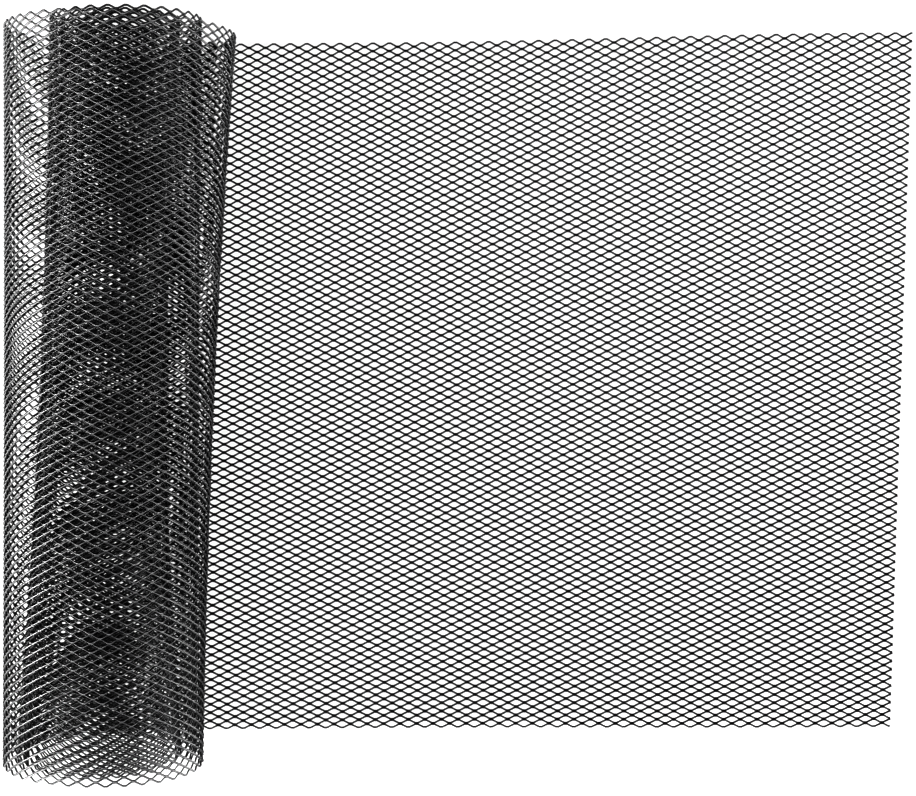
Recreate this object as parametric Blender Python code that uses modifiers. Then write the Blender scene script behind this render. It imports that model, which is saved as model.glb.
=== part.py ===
"""A sheet of expanded aluminium mesh for car grilles, part rolled up, lying on the floor.

The sheet is one piece of stock. Its tail lies along +X, flat beside the roll and sprung up a little at
its free end, and the rest is wound into a loose roll whose axis runs along Y: one wide outer turn, then
tighter inner turns. The two edges of the sheet are wound to different radii, so the roll is a little conical.
The skin is as thick as the raised mesh, and its four edges have the teeth of the real diamonds.
"""

import math

import bmesh
import bpy
from mathutils import Matrix, Vector

MM = 0.001

# The sheet: its size, its diamond cell and the height of the raised strands
SHEET_LENGTH = 1096.0 * MM
SHEET_WIDTH = 332.0 * MM
CELL_LENGTH = 8.0 * MM
CELL_WIDTH = 4.0 * MM
MESH_THICKNESS = 1.4 * MM

# The tail: its length, and how far its +Y corner stands ahead of its -Y corner
TAIL_LENGTH = 366.0 * MM
TAIL_SKEW = 9.4 * MM

# The tail's free end springs up: how high at each corner, how long the raised stretch is, and the ramp to it
TOP_END_LIFT = 19.0 * MM
BASE_END_LIFT = 5.0 * MM
RAISED_LENGTH = 20.0 * MM
RAMP_LENGTH = 225.0 * MM

# The roll at its +Y edge and at its -Y edge: the radius where the sheet leaves the floor,
# and what each half turn keeps of the radius of the one before
TOP_RADIUS = 52.3 * MM
TOP_HALF_TURN_SHARES = (1.0, 0.79, 0.8, 0.95, 0.82, 0.98)
BASE_RADIUS = 48.0 * MM
BASE_HALF_TURN_SHARES = (0.92, 0.93, 0.97, 0.97, 0.9, 0.97)

# The sheet wanders along the roll: the outer turn towards -Y down its far side, the inner turns towards +Y
OUTER_SLIP = 3.5 * MM
INNER_SLIP = 4.5 * MM
SLIP_START = math.radians(150)
SLIP_TURNING = math.radians(270)
SLIP_END = math.radians(470)

HALF_TURN = math.pi
STEPS_PER_COLUMN = 8
TOOTH_STEPS = 1  # lattice steps from the tips of an edge's teeth to their feet
STRAIGHT_STEPS = 2  # lattice steps at the inner end that spring straight

# The lattice: nodes sit at every half cell, and the drawn cell is stretched to fit the sheet exactly
COLUMNS = 2 * round(SHEET_LENGTH / CELL_LENGTH)
ROWS = 2 * round(SHEET_WIDTH / CELL_WIDTH)
COLUMN_STEP = SHEET_LENGTH / COLUMNS
ROW_STEP = SHEET_WIDTH / ROWS

ALUMINIUM_BLACK = {"colour": (0.012, 0.012, 0.013, 1.0), "roughness": 0.38, "metallic": 0.0}


def clear_scene():
    for thing in list(bpy.data.objects):
        bpy.data.objects.remove(thing, do_unlink=True)


def smooth_share(value, start, end):
    """0 before start, 1 after end, and a smooth rise between them."""
    share = min(1.0, max(0.0, (value - start) / (end - start)))
    return share * share * (3 - 2 * share)


def coil_radius(turned, first_radius, half_turn_shares):
    """Radius of the roll once the sheet has turned this far. It never grows, so no turn meets another."""
    radius = first_radius
    for number, kept_share in enumerate(half_turn_shares):
        passed_share = min(1.0, max(0.0, turned / HALF_TURN - number))
        radius *= 1 - (1 - kept_share) * passed_share
    return radius


def slip_along_roll(turned):
    outer_share = smooth_share(turned, SLIP_START, SLIP_TURNING)
    inner_share = smooth_share(turned, SLIP_TURNING, SLIP_END)
    return INNER_SLIP * inner_share - OUTER_SLIP * outer_share * (1 - inner_share)


def edge_profile(first_radius, half_turn_shares, end_lift):
    """Points (x, z, slip) of one long edge at each lattice column, from the tail's end to the inner end."""
    x, z, turned = TAIL_LENGTH, MESH_THICKNESS / 2, 0.0
    points = [(x, z + end_lift, 0.0)]
    step = COLUMN_STEP / STEPS_PER_COLUMN
    for column in range(COLUMNS):
        for fine_step in range(STEPS_PER_COLUMN):
            travelled = column * COLUMN_STEP + (fine_step + 1) * step
            coiling = travelled > TAIL_LENGTH and column < COLUMNS - STRAIGHT_STEPS
            turn = step / coil_radius(turned, first_radius, half_turn_shares) if coiling else 0.0
            x -= step * math.cos(turned + turn / 2)
            z += step * math.sin(turned + turn / 2)
            turned += turn
        lift = end_lift * (1 - smooth_share(travelled, RAISED_LENGTH, RAISED_LENGTH + RAMP_LENGTH))
        points.append((x, z + lift, slip_along_roll(turned)))
    return points


def toothed_strip():
    """The flat sheet in lattice units: x counts columns and y counts rows, with teeth on all four edges."""
    first, last = TOOTH_STEPS, COLUMNS - TOOTH_STEPS
    strip = bmesh.new()
    to_lattice = Matrix.Translation((COLUMNS / 2, ROWS / 2, 0)) @ Matrix.Diagonal((last - first, ROWS, 1, 1))
    bmesh.ops.create_grid(strip, x_segments=last - first, y_segments=1, size=0.5, matrix=to_lattice)
    for vertex in strip.verts:
        if round(vertex.co.x) % 2:
            vertex.co.y += TOOTH_STEPS if vertex.co.y < ROWS / 2 else -TOOTH_STEPS
    end_edges = [
        edge for edge in strip.edges
        if len(edge.link_faces) == 1 and abs(edge.verts[0].co.x - edge.verts[1].co.x) < TOOTH_STEPS / 2
    ]
    bmesh.ops.subdivide_edges(strip, edges=end_edges, cuts=ROWS - 2 * TOOTH_STEPS - 1)
    for vertex in strip.verts:
        at_an_end = round(vertex.co.x) in (first, last)
        if at_an_end and round(vertex.co.y) % 2 == 0:
            vertex.co.x += -TOOTH_STEPS if vertex.co.x < COLUMNS / 2 else TOOTH_STEPS
    return strip


def roll_up(strip):
    """Moves each lattice point to its place on the rolled sheet, between its two edge profiles."""
    base = edge_profile(BASE_RADIUS, BASE_HALF_TURN_SHARES, BASE_END_LIFT)
    top = edge_profile(TOP_RADIUS, TOP_HALF_TURN_SHARES, TOP_END_LIFT)
    for vertex in strip.verts:
        column, row = round(vertex.co.x), round(vertex.co.y)
        share = row / ROWS
        x, z, slip = (low + (high - low) * share for low, high in zip(base[column], top[column]))
        across = row * ROW_STEP
        vertex.co = Vector((x + TAIL_SKEW * share, across + slip, z))


def settle(strip):
    """Puts the origin below the middle of the sheet, on the floor it lies on."""
    xs, ys, zs = ([vertex.co[axis] for vertex in strip.verts] for axis in range(3))
    half_skin = MESH_THICKNESS / 2
    roll_side, tail_tips = min(xs) - half_skin, max(xs)
    middle = Vector(((roll_side + tail_tips) / 2, (min(ys) + max(ys)) / 2, min(zs) - half_skin))
    bmesh.ops.translate(strip, verts=strip.verts, vec=-middle)


def finish_material():
    material = bpy.data.materials.new("black_powder_coat")
    material.use_nodes = True
    shader = material.node_tree.nodes["Principled BSDF"]
    shader.inputs["Base Color"].default_value = ALUMINIUM_BLACK["colour"]
    shader.inputs["Roughness"].default_value = ALUMINIUM_BLACK["roughness"]
    shader.inputs["Metallic"].default_value = ALUMINIUM_BLACK["metallic"]
    return material


def mesh_sheet(collection):
    strip = toothed_strip()
    roll_up(strip)
    settle(strip)
    bmesh.ops.recalc_face_normals(strip, faces=strip.faces)
    mesh = bpy.data.meshes.new("mesh_sheet")
    strip.to_mesh(mesh)
    strip.free()
    sheet = bpy.data.objects.new("mesh_sheet", mesh)
    collection.objects.link(sheet)
    skin = sheet.modifiers.new("skin", "SOLIDIFY")
    skin.thickness = MESH_THICKNESS
    skin.offset = 0
    mesh.materials.append(finish_material())
    return sheet


def main():
    clear_scene()
    collection = bpy.data.collections.new("grille_mesh_roll")
    bpy.context.scene.collection.children.link(collection)
    mesh_sheet(collection)


main()
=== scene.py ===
"""The looks of the rolled grille mesh: its strands, its black coat, the floor, the light and the camera.

The CAD skin gives the sheet's place and its height. Here the skin is replaced by the real lattice: zigzag
strands, joined where they touch, which follow the same roll as the skin does.
All lengths are in metres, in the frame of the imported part.
"""

import math

import bmesh
import bpy
import numpy as np
from mathutils import Euler, Matrix, Vector


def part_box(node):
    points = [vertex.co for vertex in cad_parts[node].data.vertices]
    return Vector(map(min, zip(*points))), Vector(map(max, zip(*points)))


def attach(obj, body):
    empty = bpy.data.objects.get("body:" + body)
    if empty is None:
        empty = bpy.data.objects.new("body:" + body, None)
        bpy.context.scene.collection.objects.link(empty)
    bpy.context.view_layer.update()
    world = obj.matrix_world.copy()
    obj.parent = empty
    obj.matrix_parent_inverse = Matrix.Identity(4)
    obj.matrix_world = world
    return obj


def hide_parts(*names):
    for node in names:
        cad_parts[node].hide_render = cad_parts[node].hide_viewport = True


MM = 0.001

# The flat sheet, as the part's source has it
SHEET_LENGTH = 1096.0 * MM
SHEET_WIDTH = 332.0 * MM
CELL_LENGTH = 8.0 * MM
CELL_WIDTH = 4.0 * MM
MESH_THICKNESS = 1.4 * MM

# The tail: its skew, and how high its free end stands off the floor at the sheet's two long edges
TAIL_LENGTH = 366.0 * MM
TAIL_SKEW = 9.4 * MM

TOP_END_LIFT = 19.0 * MM
BASE_END_LIFT = 5.0 * MM
RAISED_LENGTH = 20.0 * MM
RAMP_LENGTH = 225.0 * MM

# The roll at the two long edges: its first radius, and what each half turn keeps of the radius
TOP_RADIUS = 52.3 * MM
TOP_HALF_TURN_SHARES = (1.0, 0.79, 0.8, 0.95, 0.82, 0.98)
BASE_RADIUS = 48.0 * MM
BASE_HALF_TURN_SHARES = (0.92, 0.93, 0.97, 0.97, 0.9, 0.97)

# How far the turns slip along the roll. At the base, the inner ones slip less than the solid skin's do
OUTER_SLIP = 3.5 * MM
TOP_INNER_SLIP = 4.5 * MM
BASE_INNER_SLIP = 1.5 * MM
SLIP_START = math.radians(150)
SLIP_TURNING = math.radians(270)
SLIP_END = math.radians(470)

# The lattice: its columns and rows, and the small steps in which the sheet is rolled up
HALF_TURN = math.pi
STEPS_PER_COLUMN = 8
STRAIGHT_STEPS = 2
COLUMNS = 2 * round(SHEET_LENGTH / CELL_LENGTH)
ROWS = 2 * round(SHEET_WIDTH / CELL_WIDTH)
TIPS_ROW = ROWS - 2  # the last row with a tip at the tail's free end
EDGE_INSET = 0.2 * MM  # keeps the outermost strands inside the sheet's own edges
COLUMN_STEP = (SHEET_LENGTH - 2 * EDGE_INSET) / COLUMNS
ROW_STEP = (SHEET_WIDTH - 2 * EDGE_INSET) / ROWS

# The strand: a flat ribbon that leans over, and the length over which two of them stay joined
STRAND_WIDTH = 0.78 * MM
STRAND_THICKNESS = 0.5 * MM
STRAND_LEAN = math.radians(-45)
BOND_LENGTH = 1.3 * MM
BOND_OVERLAP_SHARE = 0.04

# The lattice is split into bands of strands, so that no piece grows too heavy
BAND_STRIPS = 34
STATIONS = 2 * (COLUMNS + 1)  # places along a strand: two for each of its bonds

# The coat: dull black in two tones, with patches of more and less gloss and a fine orange-peel skin
DARK_TONE = (0.014, 0.014, 0.0145, 1)
PALE_TONE = (0.02, 0.02, 0.0205, 1)
COAT_SPECULAR = 0.28
LOW_ROUGHNESS = 0.31
HIGH_ROUGHNESS = 0.39
PATCH_SCALE = 45
PATCH_DETAIL = 4
PATCH_LOW_SHARE = 0.3
PATCH_HIGH_SHARE = 0.7
PEEL_SCALE = 2500
PEEL_DETAIL = 2
PEEL_STRENGTH = 0.2
PEEL_DEPTH = 0.05 * MM

# The camera looks straight down on the sheet
IMAGE_WIDTH = 916
IMAGE_HEIGHT = 796
CAMERA_PLACE = (-4.1 * MM, 41.3 * MM, 803.0 * MM)
CAMERA_LENS = 65.13
CAMERA_SENSOR = 36.0
CAMERA_ROLL = math.radians(-0.43)
PRINCIPAL_ROW = 298.5  # pixel row that lies straight below the camera

# The floor shines by itself, as the photograph's white ground does, and lies just under the sheet
FLOOR_HALF_SIZE = 4.0
FLOOR_DROP = 0.2 * MM
FLOOR_TONE = (0.05, 0.05, 0.05, 1)
FLOOR_ROUGHNESS = 0.9
FLOOR_GLOW = 0.97
WHITE = (1, 1, 1, 1)

# The photograph is printed hard: its middle greys are dark and its blacks are closed
DISPLAY_GAMMA = 0.6

# Softboxes in front of the roll and at its sides, and two below the horizon for what a white floor throws
# back: name, degrees round from +X, degrees up, watts
LAMP_TARGET = Vector((-0.15, 0.0, 0.05))
LAMP_DISTANCE = 6.0
LAMP_SIZE = 4.0
LAMPS = (
    ("left_lamp", 228, 12, 4000),
    ("front_lamp", 270, 12, 1500),
    ("right_lamp", 325, 12, 2100),
    ("upper_lamp", 225, 60, 350),
    ("right_bounce", 345, -25, 1300),
    ("left_bounce", 195, -25, 420),
)


def smooth_share(value, start, end):
    """0 before start, 1 after end, and a smooth rise between them."""
    share = min(1.0, max(0.0, (value - start) / (end - start)))
    return share * share * (3 - 2 * share)


def coil_radius(turned, first_radius, half_turn_shares):
    """Radius of the roll once the sheet has turned this far. It never grows, so no turn meets another."""
    radius = first_radius
    for number, kept_share in enumerate(half_turn_shares):
        passed_share = min(1.0, max(0.0, turned / HALF_TURN - number))
        radius *= 1 - (1 - kept_share) * passed_share
    return radius


def slip_along_roll(turned, inner_slip):
    """How far the sheet has slipped along the roll: the outer turn one way, the inner turns the other."""
    outer_share = smooth_share(turned, SLIP_START, SLIP_TURNING)
    inner_share = smooth_share(turned, SLIP_TURNING, SLIP_END)
    return inner_slip * inner_share - OUTER_SLIP * outer_share * (1 - inner_share)


def tail_rise(travelled, end_lift):
    """How high this edge of the tail stands off the floor, this far from its free end."""
    return end_lift * (1 - smooth_share(travelled, RAISED_LENGTH, RAISED_LENGTH + RAMP_LENGTH))


def edge_profile(first_radius, half_turn_shares, end_lift, inner_slip):
    """Rows of travelled, x, z, turned and slip along one long edge, from the tail's free end."""
    x, z, turned = TAIL_LENGTH, MESH_THICKNESS / 2, 0.0
    rows = [(0.0, x, z + end_lift, 0.0, 0.0)]
    step = SHEET_LENGTH / COLUMNS / STEPS_PER_COLUMN
    for number in range(COLUMNS * STEPS_PER_COLUMN):
        travelled = (number + 1) * step
        coiling = travelled > TAIL_LENGTH and number < (COLUMNS - STRAIGHT_STEPS) * STEPS_PER_COLUMN
        turn = step / coil_radius(turned, first_radius, half_turn_shares) if coiling else 0.0
        x -= step * math.cos(turned + turn / 2)
        z += step * math.sin(turned + turn / 2)
        turned += turn
        height = z + tail_rise(travelled, end_lift)
        rows.append((travelled, x, height, turned, slip_along_roll(turned, inner_slip)))
    return np.array(rows)


def flat_band(strips):
    """Flat ribbons in whole numbers: x counts a strand's stations, y is twice its number."""
    band = bmesh.new()
    for strip in strips:
        place = Matrix.Translation(((STATIONS - 1) / 2, 2 * strip + 0.5, 0))
        stretch = Matrix.Diagonal((STATIONS - 1, 1, 1, 1))
        reach = place @ stretch
        bmesh.ops.create_grid(band, x_segments=STATIONS - 1, y_segments=1, size=0.5, matrix=reach)
    mesh = bpy.data.meshes.new("band")
    band.to_mesh(mesh)
    band.free()
    mesh.shade_smooth()
    return mesh


def sheet_coordinates(station, edge_number):
    """Travelled length, distance across the sheet and height over its middle, for each ribbon point."""
    column = station // 2
    strip = edge_number // 2
    past_middle = np.where(station % 2, 1.0, -1.0)
    past_middle[(station == 0) | (station == STATIONS - 1)] = 0.0
    travelled = EDGE_INSET + column * COLUMN_STEP + past_middle * BOND_LENGTH / 2
    above_node = (strip + column) % 2 == 0
    row = np.where(above_node, strip, strip + 1)
    side = np.where(above_node, 1.0, -1.0) * (1 - BOND_OVERLAP_SHARE)
    ribbon_edge = np.where(edge_number % 2, 1.0, -1.0)
    offset = (side + ribbon_edge) * STRAND_WIDTH / 2
    across = EDGE_INSET + row * ROW_STEP + offset * math.cos(STRAND_LEAN)
    return travelled, across, offset * math.sin(STRAND_LEAN)


def rolled(travelled, across, height, base, top):
    """Places of points given on the flat sheet, between the profiles of its two long edges."""
    share = across / SHEET_WIDTH
    low, high = (
        np.array([np.interp(travelled, profile[:, 0], profile[:, kind]) for kind in range(1, 5)])
        for profile in (base, top)
    )
    x, z, turned, slip = low + (high - low) * share
    x += TAIL_SKEW * share + height * np.sin(turned)
    z += height * np.cos(turned)
    return np.stack((x, across + slip, z), axis=1)


def frame_shift(base, top):
    """What moves the roll from its own profile's origin to its place in the frame."""
    lowest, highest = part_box("mesh_sheet")
    roll_side = min(base[:, 1].min(), top[:, 1].min() + TAIL_SKEW) - MESH_THICKNESS / 2
    tail_tips = TAIL_LENGTH + TAIL_SKEW * TIPS_ROW / ROWS
    x = (lowest.x + highest.x) / 2 - (roll_side + tail_tips) / 2
    y = (lowest.y + highest.y) / 2 - (SHEET_WIDTH + TOP_INNER_SLIP - OUTER_SLIP) / 2
    return np.array((x, y, lowest.z))


def powder_coat():
    """Satin black powder coat, a little uneven in colour and gloss, with a fine orange-peel skin."""
    material = bpy.data.materials.new("black_powder_coat")
    material.use_nodes = True
    nodes, links = material.node_tree.nodes, material.node_tree.links
    shader = nodes["Principled BSDF"]
    shader.inputs["Specular IOR Level"].default_value = COAT_SPECULAR
    place = nodes.new("ShaderNodeTexCoord")

    patches = nodes.new("ShaderNodeTexNoise")
    patches.inputs["Scale"].default_value = PATCH_SCALE
    patches.inputs["Detail"].default_value = PATCH_DETAIL
    links.new(place.outputs["Object"], patches.inputs["Vector"])
    tones = nodes.new("ShaderNodeValToRGB")
    dark, pale = tones.color_ramp.elements
    dark.position = PATCH_LOW_SHARE
    dark.color = DARK_TONE
    pale.position = PATCH_HIGH_SHARE
    pale.color = PALE_TONE
    links.new(patches.outputs["Fac"], tones.inputs["Fac"])
    links.new(tones.outputs["Color"], shader.inputs["Base Color"])

    gloss = nodes.new("ShaderNodeMapRange")
    gloss.inputs["From Min"].default_value = PATCH_LOW_SHARE
    gloss.inputs["From Max"].default_value = PATCH_HIGH_SHARE
    gloss.inputs["To Min"].default_value = LOW_ROUGHNESS
    gloss.inputs["To Max"].default_value = HIGH_ROUGHNESS
    links.new(patches.outputs["Fac"], gloss.inputs["Value"])
    links.new(gloss.outputs["Result"], shader.inputs["Roughness"])

    peel = nodes.new("ShaderNodeTexNoise")
    peel.inputs["Scale"].default_value = PEEL_SCALE
    peel.inputs["Detail"].default_value = PEEL_DETAIL
    links.new(place.outputs["Object"], peel.inputs["Vector"])
    bump = nodes.new("ShaderNodeBump")
    bump.inputs["Strength"].default_value = PEEL_STRENGTH
    bump.inputs["Distance"].default_value = PEEL_DEPTH
    links.new(peel.outputs["Fac"], bump.inputs["Height"])
    links.new(bump.outputs["Normal"], shader.inputs["Normal"])
    return material


def mesh_bands():
    """The whole lattice, one piece for each band of strands."""
    base = edge_profile(BASE_RADIUS, BASE_HALF_TURN_SHARES, BASE_END_LIFT, BASE_INNER_SLIP)
    top = edge_profile(TOP_RADIUS, TOP_HALF_TURN_SHARES, TOP_END_LIFT, TOP_INNER_SLIP)
    shift = frame_shift(base, top)
    coat = powder_coat()
    for number, first in enumerate(range(0, ROWS, BAND_STRIPS)):
        mesh = flat_band(range(first, min(first + BAND_STRIPS, ROWS)))
        flat = np.empty(len(mesh.vertices) * 3, np.float32)
        mesh.vertices.foreach_get("co", flat)
        station, edge_number = np.rint(flat.reshape(-1, 3)[:, :2]).astype(int).T
        places = rolled(*sheet_coordinates(station, edge_number), base, top) + shift
        mesh.vertices.foreach_set("co", places.astype(np.float32).ravel())
        mesh.update()
        mesh.materials.append(coat)
        band = bpy.data.objects.new(f"mesh_band_{number + 1}", mesh)
        bpy.context.scene.collection.objects.link(band)
        ribbon = band.modifiers.new("ribbon", "SOLIDIFY")
        ribbon.thickness = STRAND_THICKNESS
        ribbon.offset = 0
        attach(band, "root")
        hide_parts("mesh_sheet")


def floor():
    """A wide white ground that the camera sees, but that neither lights nor shades the mesh."""
    plane = bmesh.new()
    bmesh.ops.create_grid(plane, x_segments=1, y_segments=1, size=FLOOR_HALF_SIZE)
    mesh = bpy.data.meshes.new("floor")
    plane.to_mesh(mesh)
    plane.free()
    material = bpy.data.materials.new("white_floor")
    material.use_nodes = True
    shader = material.node_tree.nodes["Principled BSDF"]
    shader.inputs["Base Color"].default_value = FLOOR_TONE
    shader.inputs["Roughness"].default_value = FLOOR_ROUGHNESS
    shader.inputs["Emission Color"].default_value = WHITE
    shader.inputs["Emission Strength"].default_value = FLOOR_GLOW
    mesh.materials.append(material)
    ground = bpy.data.objects.new("floor", mesh)
    ground.location.z = -FLOOR_DROP
    bpy.context.scene.collection.objects.link(ground)
    ground.visible_diffuse = False
    ground.visible_glossy = False
    ground.visible_shadow = False


def soft_lamp(name, azimuth, elevation, power):
    """A round softbox that faces the roll, this many degrees round from +X and above the floor."""
    light = bpy.data.lights.new(name, "AREA")
    light.shape = "DISK"
    light.size = LAMP_SIZE
    light.energy = power
    lamp = bpy.data.objects.new(name, light)
    turn = Euler((0, math.radians(-elevation), math.radians(azimuth)))
    away = turn.to_matrix() @ Vector((1, 0, 0))
    lamp.location = LAMP_TARGET + away * LAMP_DISTANCE
    lamp.rotation_euler = (-away).to_track_quat("-Z", "Y").to_euler()
    bpy.context.scene.collection.objects.link(lamp)


def lights():
    """The softboxes, and a white world that only the camera sees."""
    for name, azimuth, elevation, power in LAMPS:
        soft_lamp(name, azimuth, elevation, power)
    world = bpy.data.worlds.new("studio")
    world.use_nodes = True
    background = world.node_tree.nodes["Background"]
    background.inputs["Color"].default_value = WHITE
    background.inputs["Strength"].default_value = 1
    world.cycles_visibility.diffuse = False
    world.cycles_visibility.glossy = False
    bpy.context.scene.world = world
    bpy.context.scene.view_settings.view_transform = "Standard"
    bpy.context.scene.view_settings.gamma = DISPLAY_GAMMA


def camera():
    """Looks straight down. The shift brings the row below the camera to its place in the picture."""
    lens = bpy.data.cameras.new("camera")
    lens.lens = CAMERA_LENS
    lens.sensor_width = CAMERA_SENSOR
    lens.shift_y = (PRINCIPAL_ROW - IMAGE_HEIGHT / 2) / IMAGE_WIDTH
    body = bpy.data.objects.new("camera", lens)
    body.location = CAMERA_PLACE
    body.rotation_euler.z = CAMERA_ROLL
    bpy.context.scene.collection.objects.link(body)
    bpy.context.scene.camera = body


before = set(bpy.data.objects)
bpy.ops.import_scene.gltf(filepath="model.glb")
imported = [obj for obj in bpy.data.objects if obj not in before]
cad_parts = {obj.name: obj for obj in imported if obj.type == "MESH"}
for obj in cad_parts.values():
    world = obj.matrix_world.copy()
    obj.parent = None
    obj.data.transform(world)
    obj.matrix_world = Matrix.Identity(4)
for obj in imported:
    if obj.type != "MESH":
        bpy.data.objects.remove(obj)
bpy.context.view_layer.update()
mesh_bands()
floor()
lights()
camera()
